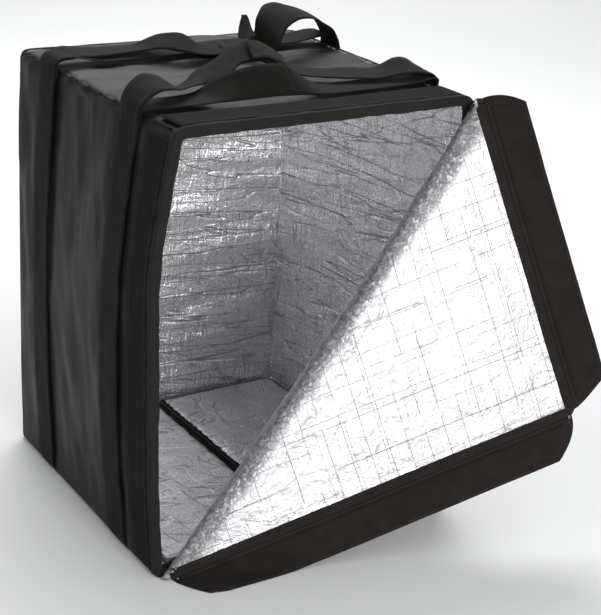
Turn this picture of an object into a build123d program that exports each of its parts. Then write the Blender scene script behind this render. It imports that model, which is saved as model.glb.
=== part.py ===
"""Front-opening insulated carrier bag: foil-lined soft walls, a front flap folded half open, two webbing handles
and a hinged floor insert.

Frame: millimetres, origin at the centre of the footprint on the surface the bag stands on. +X is to the right of
someone facing the mouth, +Y goes into the bag, +Z is up. The mouth faces -Y.
"""
from build123d import *
import os

os.makedirs("parts", exist_ok=True)

# Driving dimensions ------------------------------------------------------------------------------------------------
WIDTH = 457.0  # outside of the walls, left to right (18 in)
DEPTH = 457.0  # outside of the walls, mouth to back (18 in)
HEIGHT = 610.0  # outside of the base to outside of the top (24 in)

SHELL = 1.0  # coated nylon
BASE_SHELL = 1.6  # the base's doubled cloth
FOAM = 10.0  # wall insulation
FOIL = 0.8  # foil laminate lining
FLAP_FOAM = 5.0  # the flap's thinner insulation
BINDING = 1.0  # tape bound over the front edge of the walls

WEBBING_WIDTH = 50.0
WEBBING = 2.0
WEBBING_END = 4.0  # the side bands stop this far below the top
WEBBING_UNDER = 1.0  # pressed flat into the base cloth, flush with it
TAPE_WIDTH = 50.0  # loop tape on the walls, which the lips fasten to
TAPE = 1.2
TAPE_INSET = 8.5  # from the mouth edge to the loop tape
STRAP_FRONT_Y = -125.0  # middle of the front webbing band
STRAP_BACK_Y = 115.0  # middle of the back webbing band

FLAP_GAP = 0.8  # between the closed flap and the mouth rim
FLAP_INSET = 2.5  # between the flap's hinged edge and the right wall's outside
FLAP_LIFT = 2.0  # from the resting surface to the flap's lower edge
FOLD_HALF_GAP = 1.0  # bending strip left out on each side of a fold
FOLD_ANGLE = 157.0  # how far the upper corner of the flap is peeled outwards

LIP_WIDTH = 57.0
LIP_CLOTH = 1.0
HOOK_TAPE = 1.0
LIP_CLEARANCE = 0.4  # between a wrapped lip and the loop tape
LIP_START = 0.4  # from a lip's fold line to the edge of its solid
TAIL_LENGTH = 182.0  # stretch of the left lip that rests on the floor when the corner is peeled
TAIL_BEND = 60.0  # how far that stretch is turned out of the lip's plane

BOARD = 4.0  # floor insert core
BOARD_SKIN = 0.6  # foil on the insert
BOARD_RADIUS = 22.0  # back corners of the insert
HINGE_STRIP_WIDTH = 60.0  # cloth strip under the two boards
HINGE_STRIP = 0.6
HINGE_GAP = 10.0  # between the boards

# Worked out from the driving dimensions ----------------------------------------------------------------------------
WALL = SHELL + FOAM + FOIL
BASE = 0.0
TOP = BASE + HEIGHT
FLOOR = BASE + BASE_SHELL + FOAM + FOIL  # top of the floor lining
LEFT, RIGHT = -WIDTH / 2, WIDTH / 2
FRONT, BACK = -DEPTH / 2, DEPTH / 2
WALLS_FRONT = FRONT + BINDING
FLAP_INNER = FRONT - FLAP_GAP
FLAP_OUTER = FLAP_INNER - FOIL - FLAP_FOAM - SHELL
FOLD_OFFSET = TAPE + LIP_CLEARANCE + LIP_CLOTH + HOOK_TAPE  # lip fold lines stand this far off the walls
PEEL_AXIS = Axis((LEFT, FLAP_OUTER, BASE), (WIDTH, 0, HEIGHT))


def block(x, y, z):
    """A box from three (low, high) pairs."""
    size = [pair[1] - pair[0] for pair in (x, y, z)]
    middle = [(pair[0] + pair[1]) / 2 for pair in (x, y, z)]
    return Pos(*middle) * Box(*size)


def band(middle):
    """The y range of a webbing band."""
    return (middle - WEBBING_WIDTH / 2, middle + WEBBING_WIDTH / 2)


def prism(outline, y):
    """A prism with an outline of (x, z) points, between two values of y."""
    face = Face(Wire.make_polygon([(px, y[0], pz) for px, pz in outline], close=True))
    return Solid.extrude(face, Vector(0, y[1] - y[0], 0))


def peel(solid):
    """Turns a piece of the closed flap's upper corner to where it hangs peeled open."""
    return solid.rotate(PEEL_AXIS, FOLD_ANGLE)


def ribbon(stations, thickness):
    """Flat webbing over the top, through stations that give the band's two edges; a ruled solid."""
    top = Vector(0, 0, TOP)
    points = [(Vector(*a) + top, Vector(*b) + top) for a, b in stations]
    middles = [(a + b) * 0.5 for a, b in points]
    sections = []
    for i, (a, b) in enumerate(points):
        along = middles[min(i + 1, len(points) - 1)] - middles[max(i - 1, 0)]
        normal = (b - a).cross(along).normalized() * (thickness / 2)
        sections.append(Wire.make_polygon([a - normal, b - normal, b + normal, a + normal], close=True))
    return Solid.make_loft(sections, ruled=True)


def save(solid, name):
    solid.label = name
    export_step(solid, f"parts/{name}.step")


# Walls: each side is a nylon shell, foam and a foil lining ---------------------------------------------------------
def wall_panels(name, inset, thickness, floor):
    """One layer of the five walls, from inset to inset + thickness inside the outer faces; floor is its z range."""
    inner = inset + thickness
    depth = (WALLS_FRONT, BACK - inner)
    across = (LEFT + inner, RIGHT - inner)
    height = (floor[0], TOP - inset)
    save(block((LEFT + inset, LEFT + inner), depth, height), f"{name}_left")
    save(block((RIGHT - inner, RIGHT - inset), depth, height), f"{name}_right")
    save(block(across, depth, (TOP - inner, TOP - inset)), f"{name}_top")
    save(block((LEFT + inset, RIGHT - inset), (BACK - inner, BACK - inset), height), f"{name}_back")
    panel = block(across, depth, floor)
    if name == "shell":
        for middle in (STRAP_FRONT_Y, STRAP_BACK_Y):
            panel -= block(across, band(middle), (BASE, BASE + WEBBING_UNDER))
    save(panel, f"{name}_bottom")


def walls():
    foam_low = BASE + BASE_SHELL
    foil_low = foam_low + FOAM
    wall_panels("shell", 0, SHELL, (BASE, foam_low))
    wall_panels("foam", SHELL, FOAM, (foam_low, foil_low))
    wall_panels("lining", SHELL + FOAM, FOIL, (foil_low, FLOOR))


def mouth_rim():
    """Binding round the front edge of the walls, loop tape beside it and the seam that the flap hangs from."""
    rim = (FRONT, WALLS_FRONT)
    across = (LEFT + WALL, RIGHT - WALL)
    save(block((LEFT, LEFT + WALL), rim, (BASE, TOP)), "binding_left")
    save(block((RIGHT - WALL, RIGHT), rim, (BASE, TOP)), "binding_right")
    save(block(across, rim, (TOP - WALL, TOP)), "binding_top")
    save(block(across, rim, (BASE, FLOOR)), "binding_bottom")
    tape = (FRONT + TAPE_INSET, FRONT + TAPE_INSET + TAPE_WIDTH)
    save(block((LEFT - TAPE, LEFT), tape, (BASE + TAPE_INSET, TOP - TAPE_INSET)), "loop_tape_left")
    save(block((LEFT + TAPE_INSET, RIGHT - TAPE_INSET), tape, (TOP, TOP + TAPE)), "loop_tape_top")
    save(block((RIGHT, RIGHT + SHELL), (FRONT, FRONT + 20), (BASE + 5, TOP - 5)), "flap_seam")


# Webbing bands: down both sides and under the base, with the slack handles over the top ----------------------------
def webbing_band(name, y_middle):
    side_height = (BASE, TOP - WEBBING_END)
    under = (LEFT + SHELL, RIGHT - SHELL)
    save(block((LEFT - WEBBING, LEFT), band(y_middle), side_height), f"{name}_left")
    save(block((RIGHT, RIGHT + WEBBING), band(y_middle), side_height), f"{name}_right")
    save(block(under, band(y_middle), (BASE, BASE + WEBBING_UNDER)), f"{name}_under")


# Edge points of the webbing over the top, chosen by hand: (front edge), (back edge), each x, y and height above
# the top.
HANDLE_FRONT_UPPER = [
    ((-225, -150, 5), (-225, -101, 10)),
    ((-216, -148, 12), (-217, -100, 22)),
    ((-200, -144, 19), (-200, -98, 32)),
    ((-178, -138, 21), (-174, -92, 27)),
    ((-154, -126, 16), (-146, -80, 7)),
    ((-130, -109, 14), (-118, -64, 8)),
    ((-104, -97, 12), (-96, -53, 19)),
    ((-76, -85, 11), (-68, -40, 24)),
    ((-50, -68, 16), (-40, -22, 30)),
    ((-20, -46, 22), (-4, -2, 35)),
    ((10, -42, 20), (24, 6, 30)),
    ((32, -64, 12), (50, -18, 14)),
    ((46, -92, 10), (72, -50, 8)),
    ((65, -112, 10), (88, -68, 9)),
    ((105, -127, 8), (124, -82, 12)),
    ((144, -136, 8), (162, -90, 11)),
    ((172, -141, 11), (186, -97, 23)),
    ((200, -143, 12), (210, -98, 20)),
    ((222, -148, 7), (224, -100, 8)),
]
HANDLE_FRONT_LOWER = [
    ((-226, -155, 2), (-226, -105, 2)),
    ((-190, -152, 2), (-190, -102, 2)),
    ((-150, -151, 2), (-150, -102, 2)),
    ((-122, -150, 2), (-123, -103, 6)),
    ((-98, -150, 2), (-100, -112, 24)),
    ((-70, -149, 2), (-74, -118, 33)),
    ((-24, -148, 2), (-26, -120, 38)),
    ((0, -152, 2), (-2, -118, 34)),
    ((36, -162, 2), (40, -122, 8)),
    ((90, -162, 2), (92, -112, 2)),
    ((140, -160, 2), (140, -110, 2)),
    ((190, -155, 2), (190, -105, 2)),
    ((226, -152, 2), (226, -102, 2)),
]
HANDLE_BACK_UPPER = [
    ((-225, 92, 4), (-225, 141, 5)),
    ((-198, 98, 8), (-202, 146, 13)),
    ((-165, 102, 7), (-162, 150, 9)),
    ((-125, 106, 7), (-122, 154, 7)),
    ((-94, 102, 10), (-84, 150, 8)),
    ((-70, 88, 14), (-56, 132, 24)),
    ((-46, 68, 12), (-30, 108, 28)),
    ((-20, 62, 7), (-8, 108, 14)),
    ((20, 64, 6), (30, 112, 7)),
    ((58, 54, 6), (64, 103, 10)),
    ((82, 36, 10), (72, 82, 26)),
    ((88, 34, 26), (66, 68, 52)),
    ((104, 46, 39), (80, 80, 64)),
    ((128, 58, 47), (104, 98, 65)),
    ((156, 68, 46), (140, 112, 58)),
    ((184, 74, 36), (176, 122, 46)),
    ((206, 82, 24), (202, 130, 33)),
    ((220, 88, 7), (220, 137, 12)),
]
HANDLE_BACK_LOWER = [
    ((-226, 90, 2), (-226, 140, 2)),
    ((-150, 91, 2), (-150, 141, 2)),
    ((-60, 95, 2), (-60, 145, 2)),
    ((60, 112, 2), (60, 162, 2)),
    ((150, 108, 2), (150, 158, 2)),
    ((226, 92, 2), (226, 142, 2)),
]
GRIP_WRAP = [
    ((-10, -52, 28), (8, -2, 40)),
    ((12, -50, 28), (26, -2, 38)),
    ((34, -66, 19), (44, -22, 25)),
]
GRIP_WING = [
    ((2, 4, 44), (28, 6, 44)),
    ((4, 10, 56), (26, 12, 56)),
    ((12, 18, 70), (20, 19, 70)),
]


def webbing():
    webbing_band("strap_front", STRAP_FRONT_Y)
    webbing_band("strap_back", STRAP_BACK_Y)
    save(ribbon(HANDLE_FRONT_UPPER, WEBBING), "handle_front_upper")
    save(ribbon(HANDLE_FRONT_LOWER, WEBBING), "handle_front_lower")
    save(ribbon(HANDLE_BACK_UPPER, WEBBING), "handle_back_upper")
    save(ribbon(HANDLE_BACK_LOWER, WEBBING), "handle_back_lower")
    save(ribbon(GRIP_WRAP, WEBBING), "grip_wrap")
    save(ribbon(GRIP_WING, WEBBING), "grip_wing")


# Floor insert: two foil-faced boards on a cloth hinge that runs front to back ---------------------------------------
def floor_insert():
    y = (FRONT + 8, BACK - WALL - 4)
    strip = (-HINGE_STRIP_WIDTH / 2, HINGE_STRIP_WIDTH / 2)
    save(block(strip, y, (FLOOR, FLOOR + HINGE_STRIP)), "floor_hinge_strip")
    low = FLOOR + HINGE_STRIP + 0.3
    for name, side in (("left", -1), ("right", 1)):
        x = sorted((side * HINGE_GAP / 2, side * (RIGHT - WALL - 4)))
        board = block(x, y, (low, low + BOARD))
        skin = block(x, y, (low + BOARD, low + BOARD + BOARD_SKIN))
        outer_back = side * x[1 if side > 0 else 0]
        for piece, part_name in ((board, "floor_board"), (skin, "floor_foil")):
            corner = piece.edges().filter_by(Axis.Z).group_by(Axis.Y)[-1]
            edge = corner.sort_by(Axis.X)[-1 if side > 0 else 0]
            save(fillet(edge, BOARD_RADIUS), f"{part_name}_{name}")


# Front flap: the lower right half stays closed and the upper left corner is peeled outwards ---------------------------
def diagonal_x(z, offset):
    """Where the fold line, moved sideways by offset (positive to the right), crosses height z."""
    length = (WIDTH**2 + HEIGHT**2) ** 0.5
    return LEFT + (z - BASE) * WIDTH / HEIGHT + offset * length / HEIGHT


def diagonal_z(x, offset):
    length = (WIDTH**2 + HEIGHT**2) ** 0.5
    return BASE + (x - LEFT) * HEIGHT / WIDTH - offset * length / WIDTH


def flap():
    hinge = RIGHT - FLAP_INSET
    low = BASE + FLAP_LIFT
    lower = [
        (diagonal_x(low, FOLD_HALF_GAP), low),
        (hinge, low),
        (hinge, diagonal_z(hinge, FOLD_HALF_GAP)),
    ]
    upper = [
        (LEFT, diagonal_z(LEFT, -FOLD_HALF_GAP)),
        (diagonal_x(TOP, -FOLD_HALF_GAP), TOP),
        (LEFT, TOP),
    ]
    layers = (
        ("lining", (FLAP_INNER - FOIL, FLAP_INNER)),
        ("foam", (FLAP_INNER - FOIL - FLAP_FOAM, FLAP_INNER - FOIL)),
        ("shell", (FLAP_OUTER, FLAP_OUTER + SHELL)),
    )
    for name, y in layers:
        save(prism(lower, y), f"flap_lower_{name}")
        save(peel(prism(upper, y)), f"flap_upper_{name}")


def lips():
    """Lips along the flap's free edges: cloth outside and hook tape inside, drawn unfolded in the flap's plane."""
    cloth = (FLAP_OUTER, FLAP_OUTER + LIP_CLOTH)
    hook = (FLAP_OUTER + LIP_CLOTH, FLAP_OUTER + LIP_CLOTH + HOOK_TAPE)
    fold_z = TOP + FOLD_OFFSET
    fold_x = LEFT - FOLD_OFFSET
    margin = 4.0  # cloth showing round the hook tape
    for name, y, m in (("lip_top", cloth, 0.0), ("hook_tape_top", hook, margin)):
        outline = [
            (LEFT + 1 + m, fold_z + LIP_START + m),
            (RIGHT - 34 - m, fold_z + LIP_START + m),
            (RIGHT - 58 - m, fold_z + LIP_WIDTH - m),
            (LEFT + 26 + m, fold_z + LIP_WIDTH - m),
        ]
        save(peel(prism(outline, y)), name)
    for name, y, m in (("lip_left", cloth, 0.0), ("hook_tape_left", hook, margin)):
        outline = [
            (fold_x - LIP_START - m, BASE + TAIL_LENGTH + m),
            (fold_x - LIP_START - m, TOP - 1 - m),
            (fold_x - LIP_WIDTH + m, TOP - 36 - m),
            (fold_x - LIP_WIDTH + m, BASE + TAIL_LENGTH + m),
        ]
        save(peel(prism(outline, y)), name)
    tail = [
        (fold_x - LIP_START, BASE + 26),
        (fold_x - LIP_START, BASE + TAIL_LENGTH - 2),
        (fold_x - LIP_WIDTH, BASE + TAIL_LENGTH - 2),
        (fold_x - LIP_WIDTH, BASE + 62),
    ]
    thickness = (FLAP_OUTER, FLAP_OUTER + LIP_CLOTH + HOOK_TAPE)
    bend_axis = Axis((fold_x, FLAP_OUTER, 0), (0, 0, 1))
    save(peel(prism(tail, thickness).rotate(bend_axis, -TAIL_BEND)), "lip_left_tail")


walls()
mouth_rim()
webbing()
floor_insert()
flap()
lips()
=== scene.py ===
"""Looks of the front-opening insulated bag: nylon walls, crinkled foil, a peeled flap, lips and webbing."""
import math

import bmesh
import bpy
import numpy as np
from mathutils import Matrix, Vector


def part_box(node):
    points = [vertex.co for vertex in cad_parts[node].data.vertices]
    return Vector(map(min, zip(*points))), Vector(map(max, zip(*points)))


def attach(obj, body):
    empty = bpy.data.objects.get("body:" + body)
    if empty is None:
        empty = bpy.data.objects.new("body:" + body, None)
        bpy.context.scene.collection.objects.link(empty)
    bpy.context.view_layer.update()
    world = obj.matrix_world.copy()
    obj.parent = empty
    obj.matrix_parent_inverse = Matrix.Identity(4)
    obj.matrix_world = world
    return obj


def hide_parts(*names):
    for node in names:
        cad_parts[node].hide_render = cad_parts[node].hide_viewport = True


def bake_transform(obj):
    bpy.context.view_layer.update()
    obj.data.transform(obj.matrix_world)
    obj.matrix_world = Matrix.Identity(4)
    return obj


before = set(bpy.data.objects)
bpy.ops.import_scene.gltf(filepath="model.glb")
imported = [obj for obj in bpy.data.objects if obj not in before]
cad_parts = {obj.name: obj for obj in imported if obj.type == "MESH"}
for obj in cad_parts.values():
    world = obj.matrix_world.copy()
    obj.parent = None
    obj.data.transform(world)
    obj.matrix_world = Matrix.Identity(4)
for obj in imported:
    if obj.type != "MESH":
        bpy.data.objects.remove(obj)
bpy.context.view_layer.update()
MM = 0.001

# ---- Places taken from the frame ----
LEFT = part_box("shell_left")[0].x
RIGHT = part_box("shell_right")[1].x
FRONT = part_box("binding_left")[0].y
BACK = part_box("shell_back")[1].y
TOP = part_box("shell_top")[1].z
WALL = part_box("binding_left")[1].x - LEFT
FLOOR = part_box("lining_bottom")[1].z
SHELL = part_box("shell_left")[1].x - LEFT
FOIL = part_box("lining_left")[1].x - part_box("lining_left")[0].x
FLAP_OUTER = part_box("flap_lower_shell")[0].y
FLAP_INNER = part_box("flap_lower_lining")[1].y
FLAP_THICK = FLAP_INNER - FLAP_OUTER
FLAP_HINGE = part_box("flap_lower_shell")[1].x
FLAP_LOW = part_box("flap_lower_shell")[0].z
WIDTH = RIGHT - LEFT
MIDDLE = TOP / 2
TAPE_Y = (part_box("loop_tape_left")[0].y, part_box("loop_tape_left")[1].y)
STRAP_FRONT = (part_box("strap_front_left")[0].y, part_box("strap_front_left")[1].y)
STRAP_BACK = (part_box("strap_back_left")[0].y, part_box("strap_back_left")[1].y)
DIAGONAL = math.hypot(WIDTH, TOP)
ALONG = (WIDTH / DIAGONAL, TOP / DIAGONAL)  # direction of the flap's fold in x and z
FOLD_ANGLE = math.radians(157)
WEDGE = math.pi - FOLD_ANGLE

EDGE_RADIUS = 18 * MM  # rounding of the long edges and of the back
BASE_RADIUS = 7 * MM
FOLD_REACH = 9 * MM  # the nylon's folds fade out at this depth under its face
SIDE_REACH, SIDE_FADE = 90 * MM, 110 * MM  # where a wall's bulge starts, and its fade-in
SAG_FROM, SAG_FADE = 460 * MM, 130 * MM  # height where the top's sag starts, and its fade-in
TOP_SAG = 3.5 * MM
LEAST = 0.3 * MM  # nothing soft goes lower than this above the floor
STITCH, STITCH_RADIUS = 4.6 * MM, 0.42 * MM
CLOTH = "cloth"  # name of the UV map, in metres along the cloth


# ---- Curves and noise ----
def smooth(t):
    t = np.clip(t, 0.0, 1.0)
    return t * t * (3 - 2 * t)


def curve(x, points):
    """A smooth line through (position, value) pairs, read at x. A value may be a number or a point."""
    at = np.array([p[0] for p in points], float)
    value = np.array([p[1] for p in points], float).reshape(len(points), -1)
    slope = np.gradient(value, at, axis=0)
    x = np.asarray(x, float)
    i = np.clip(np.searchsorted(at, x.ravel()) - 1, 0, len(at) - 2)
    step = (at[i + 1] - at[i])[:, None]
    t = np.clip((x.ravel()[:, None] - at[i][:, None]) / step, 0, 1)
    made = (1 + 2 * t) * (1 - t) ** 2 * value[i] + t * (1 - t) ** 2 * step * slope[i]
    made += t * t * (3 - 2 * t) * value[i + 1] + t * t * (t - 1) * step * slope[i + 1]
    return made[:, 0].reshape(x.shape) if value.shape[1] == 1 else made.reshape(*x.shape, -1)


def ripple(points, size, seed, waves=28):
    """Smooth noise of about unit height. Size is the length of its waves along x, y and z, in metres."""
    rng = np.random.default_rng(seed)
    k = rng.normal(size=(waves, 3))
    k *= rng.uniform(0.6, 1.5, (waves, 1)) / np.linalg.norm(k, axis=1, keepdims=True)
    k *= 2 * math.pi / np.asarray(size, float)
    phase = rng.uniform(0, 2 * math.pi, waves)
    return np.sin(points @ k.T + phase).sum(-1) / math.sqrt(waves / 2)


def hump(distance, width):
    """1 at no distance, fading away over about the width."""
    return np.exp(-((distance / width) ** 2))


# ---- How the soft walls leave their flat planes ----
# Outward bulge of each wall, in millimetres: rows of (place along the wall, [(height, bulge), ...]).
LEFT_BULGE = [
    (-229, [(0, 5), (100, 12), (300, 17), (430, 18), (540, 3), (610, -9)]),
    (-125, [(0, 6), (120, 19), (280, 25), (420, 20), (540, 7), (610, -4)]),
    (0, [(0, 4), (150, 15), (300, 19), (450, 12), (560, 4), (610, -2)]),
    (115, [(0, 3), (150, 11), (300, 13), (450, 9), (560, 3), (610, -1)]),
    (229, [(0, 2), (150, 4), (300, 4), (450, 3), (560, 1), (610, 0)]),
]
RIGHT_BULGE = [
    (-229, [(0, 1), (150, 2), (300, 2), (450, 1), (610, 0)]),
    (-125, [(0, 2), (150, 8), (300, 11), (450, 8), (610, -2)]),
    (50, [(0, 3), (150, 12), (300, 15), (450, 11), (610, -2)]),
    (229, [(0, 2), (150, 4), (300, 5), (450, 3), (610, 0)]),
]
BACK_BULGE = [
    (-229, [(0, 1), (150, 3), (300, 4), (450, 3), (610, 0)]),
    (-40, [(0, 3), (150, 12), (300, 15), (450, 10), (610, -1)]),
    (229, [(0, 1), (150, 4), (300, 5), (450, 3), (610, 0)]),
]


def bulge(along, height, rows):
    """The bulge in metres at places given by distance along the wall and height."""
    columns = np.stack([curve(height / MM, row) for _, row in rows], axis=-1)
    at = np.array([row[0] for row in rows], float)
    x = np.clip(along / MM, at[0], at[-1])
    i = np.clip(np.searchsorted(at, x) - 1, 0, len(at) - 2)
    t = smooth((x - at[i]) / (at[i + 1] - at[i]))
    low = np.take_along_axis(columns, i[..., None], -1)[..., 0]
    high = np.take_along_axis(columns, i[..., None] + 1, -1)[..., 0]
    return (low + (high - low) * t) * MM


def creases(p):
    """How far the nylon dips between its soft folds: upright on the sides, crossing on the top."""
    lean = np.stack([p[..., 0], p[..., 1] + 0.24 * p[..., 2], p[..., 2]], -1)
    against = np.stack([p[..., 0], p[..., 1] - 0.3 * p[..., 2], p[..., 2]], -1)
    side = (0.9 * ripple(lean, (0.5, 0.075, 0.30), 3) + 0.6 * ripple(against, (0.6, 0.045, 0.22), 4)
            + 0.35 * ripple(p, (0.6, 0.03, 0.12), 8))
    over = ripple(p, (0.16, 0.05, 0.5), 5) + 0.5 * ripple(p, (0.07, 0.03, 0.5), 6)
    back = ripple(p, (0.06, 0.5, 0.35), 7)
    on_top = smooth((p[..., 2] - TOP + 0.02) / 0.012)
    on_back = smooth((p[..., 1] - BACK + 0.02) / 0.012)
    height = side * (1 - on_top) * (1 - on_back) + over * on_top + back * on_back * (1 - on_top)
    return 1.3 * MM * (np.clip(height, -2.2, 2.2) - 2.2)


def soften(p, creased=False):
    """Moves points of the flat-walled box to where the soft bag has them."""
    p = np.array(p, float)
    x, y, z = p[..., 0], p[..., 1], p[..., 2]
    if creased:
        out = np.stack([np.abs(x) - RIGHT, y - BACK, z - TOP], -1)
        depth = -out.max(-1)
        low_edge = smooth((z - 0.01) / 0.05)
        mouth = smooth((y - FRONT - 0.004) / 0.02)
        dip = creases(p) * np.clip(1 - depth / FOLD_REACH, 0, 1) * low_edge * mouth
        which = out.argmax(-1)
        x = x + dip * np.sign(x) * (which == 0)
        y = y + dip * (which == 1)
        z = z + dip * (which == 2)
    core, tiny = EDGE_RADIUS, 1e-9
    vx = np.sign(x) * np.maximum(np.abs(x) - (RIGHT - core), 0) / core
    vy = np.maximum(y - (BACK - core), 0) / core
    vz = np.maximum(z - (TOP - core), 0) / core - np.maximum(BASE_RADIUS - z, 0) / BASE_RADIUS
    size = np.sqrt(vx**2 + vy**2 + vz**2)
    longest = np.maximum.reduce([abs(vx), abs(vy), abs(vz)])
    keep = np.where(size > tiny, longest / np.maximum(size, tiny), 1.0)
    x = x - vx * core * (1 - keep)
    y = y - vy * core * (1 - keep)
    z = z - np.where(vz > 0, vz * core, vz * BASE_RADIUS) * (1 - keep)
    near_left, near_right, near_back = (smooth((toward - SIDE_REACH) / SIDE_FADE) for toward in (-x, x, y))
    dx = near_right * bulge(y, z, RIGHT_BULGE) - near_left * bulge(y, z, LEFT_BULGE)
    dy = near_back * bulge(x, z, BACK_BULGE)
    over = smooth((z - SAG_FROM) / SAG_FADE)
    inside = np.cos(np.clip(x / WIDTH, -0.5, 0.5) * math.pi) * np.cos(np.clip(y / WIDTH, -0.5, 0.5) * math.pi)
    dz = -over * TOP_SAG * inside
    return np.stack([x + dx, y + dy, np.maximum(z + dz, LEAST)], -1)


# ---- Mesh building ----
def piece(name, vertices, faces, material, uv=None):
    mesh = bpy.data.meshes.new(name)
    mesh.from_pydata(np.asarray(vertices, float).tolist(), [], [list(map(int, f)) for f in faces])
    if uv is not None:
        index = np.zeros(len(mesh.loops), np.int32)
        mesh.loops.foreach_get("vertex_index", index)
        layer = mesh.uv_layers.new(name=CLOTH)
        layer.data.foreach_set("uv", np.asarray(uv, np.float32)[index].ravel())
    shaped = bmesh.new()
    shaped.from_mesh(mesh)
    bmesh.ops.recalc_face_normals(shaped, faces=shaped.faces)
    shaped.to_mesh(mesh)
    shaped.free()
    mesh.polygons.foreach_set("use_smooth", [True] * len(mesh.polygons))
    mesh.materials.append(material)
    made = bpy.data.objects.new(name, mesh)
    bpy.context.scene.collection.objects.link(made)
    return made


def normals(points):
    n = np.cross(np.gradient(points, axis=0), np.gradient(points, axis=1))
    return n / np.maximum(np.linalg.norm(n, axis=-1, keepdims=True), 1e-12)


def ruffled(points, height, size, seed):
    """The grid with small waves along its normals."""
    return points + normals(points) * (height * ripple(points, (size, size, size), seed))[..., None]


def lengths(points, axis):
    """Distance along a grid in one direction, for the UV map."""
    step = np.linalg.norm(np.diff(points, axis=axis), axis=-1)
    mean = step.mean(axis=1 - axis)
    return np.concatenate([[0], np.cumsum(mean)])


def grid_quads(index):
    """The corners of every cell of a grid of vertex numbers."""
    return np.stack([index[:-1, :-1], index[1:, :-1], index[1:, 1:], index[:-1, 1:]], -1).reshape(-1, 4)


def closed_sheet(name, points, other, material):
    """A closed mesh between two grids of points, the near face and the far face of a sheet."""
    rows, columns = points.shape[:2]
    index = np.arange(rows * columns).reshape(rows, columns)
    quads = grid_quads(index)
    count = rows * columns
    rim = np.concatenate([index[0, :-1], index[:-1, -1], index[-1, :0:-1], index[:0:-1, 0]])
    after = np.roll(rim, -1)
    sides = np.stack([rim, after, after + count, rim + count], -1)
    faces = np.concatenate([quads[:, ::-1], quads + count, sides])
    u, v = np.meshgrid(lengths(points, 0), lengths(points, 1), indexing="ij")
    uv = np.stack([u, v], -1).reshape(-1, 2)
    vertices = np.concatenate([points.reshape(-1, 3), other.reshape(-1, 3)])
    return piece(name, vertices, faces, material, np.concatenate([uv, uv]))


def sheet(name, points, thickness, material):
    """A sheet whose far face is thickness along the grid's normals (negative turns it to the other side)."""
    return closed_sheet(name, points, points + normals(points) * thickness, material)


def stitches(name, path, up, material, pitch=STITCH, share=0.62, radius=STITCH_RADIUS):
    """Thread along a line of points: one short raised spindle per stitch. Up is the surface's normal."""
    path = np.asarray(path, float)
    up = np.broadcast_to(np.asarray(up, float), path.shape)
    far = np.concatenate([[0], np.cumsum(np.linalg.norm(np.diff(path, axis=0), axis=1))])
    vertices, faces = [], []
    ring = [(1, 2, 3), (1, 3, 4), (1, 4, 5), (1, 5, 2), (0, 3, 2), (0, 4, 3), (0, 5, 4), (0, 2, 5)]
    for start in np.arange(pitch * 0.3, far[-1] - pitch, pitch):
        ends = (start, start + pitch * share)
        a, b = [np.array([np.interp(d, far, path[:, k]) for k in range(3)]) for d in ends]
        n = np.array([np.interp(start, far, up[:, k]) for k in range(3)])
        along = (b - a) / np.linalg.norm(b - a)
        across = np.cross(along, n)
        middle = (a + b) / 2 + n * radius * 0.5
        base = len(vertices)
        vertices += [a - n * radius * 0.4, b - n * radius * 0.4]
        vertices += [middle + direction * radius for direction in (across, n, -across, -n)]
        faces += [[base + i for i in face] for face in ring]
    return piece(name, vertices, faces, material)


def merge(name, objects, material):
    """Joins small pieces that share a material."""
    vertices, faces = [], []
    for o in objects:
        base = len(vertices)
        vertices += [list(v.co) for v in o.data.vertices]
        faces += [[base + i for i in p.vertices] for p in o.data.polygons]
        bpy.data.objects.remove(o)
    return piece(name, vertices, faces, material)


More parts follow.
